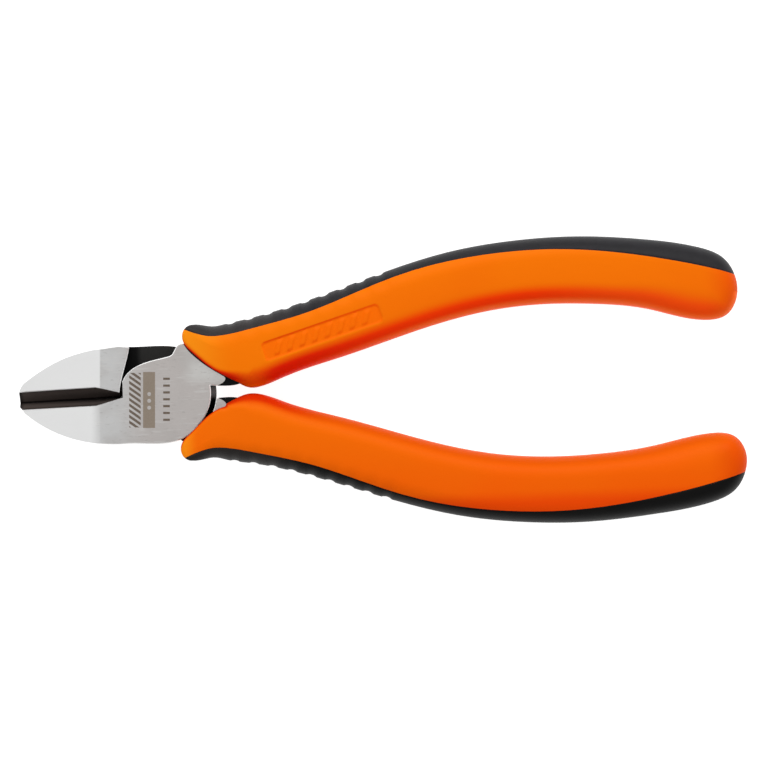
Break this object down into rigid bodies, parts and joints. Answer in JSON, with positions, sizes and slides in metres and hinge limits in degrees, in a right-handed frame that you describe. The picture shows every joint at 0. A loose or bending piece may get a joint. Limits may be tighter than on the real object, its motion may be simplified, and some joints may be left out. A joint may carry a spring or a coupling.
{
  "type": "diagonal cutting pliers",
  "caption": "Diagonal cutting pliers: ground steel jaws crossing at a flush rivet, curved orange handles with soft black pads along the outside.",
  "frame": {"origin": "where the pivot axis meets the ground back of the joint", "axes": "+X from the pivot towards the handle ends along the tool's centre line, +Z along the pivot axis from the back of the joint to its marked face, +Y towards the front lever's handle; jaws closed"},
  "size_m": [0.1597, 0.063, 0.014],
  "materials": {
    "ground_steel": "ground and clear-lacquered tool steel, black where it is left as forged, darkened at the hardened cutting edges",
    "rivet_steel": "ground flush with the joint",
    "orange_sleeve": "semi-gloss moulded plastic",
    "black_pad": "satin soft elastomer"
  },
  "bodies": {
    "front_half": {"front_lever": "ground_steel", "pivot_rivet": "rivet_steel", "upper_grip_body": "orange_sleeve", "upper_grip_pad": "black_pad"},
    "rear_half": {"rear_lever": "ground_steel", "lower_grip_body": "orange_sleeve", "lower_grip_pad": "black_pad"}
  },
  "joints": [
    {"name": "jaw_open", "type": "hinge", "parent": "front_half", "child": "rear_half", "pos_m": [0, 0, 0.00525], "axis": [0, 0, -1], "range_deg": [0, 38]}
  ]
}
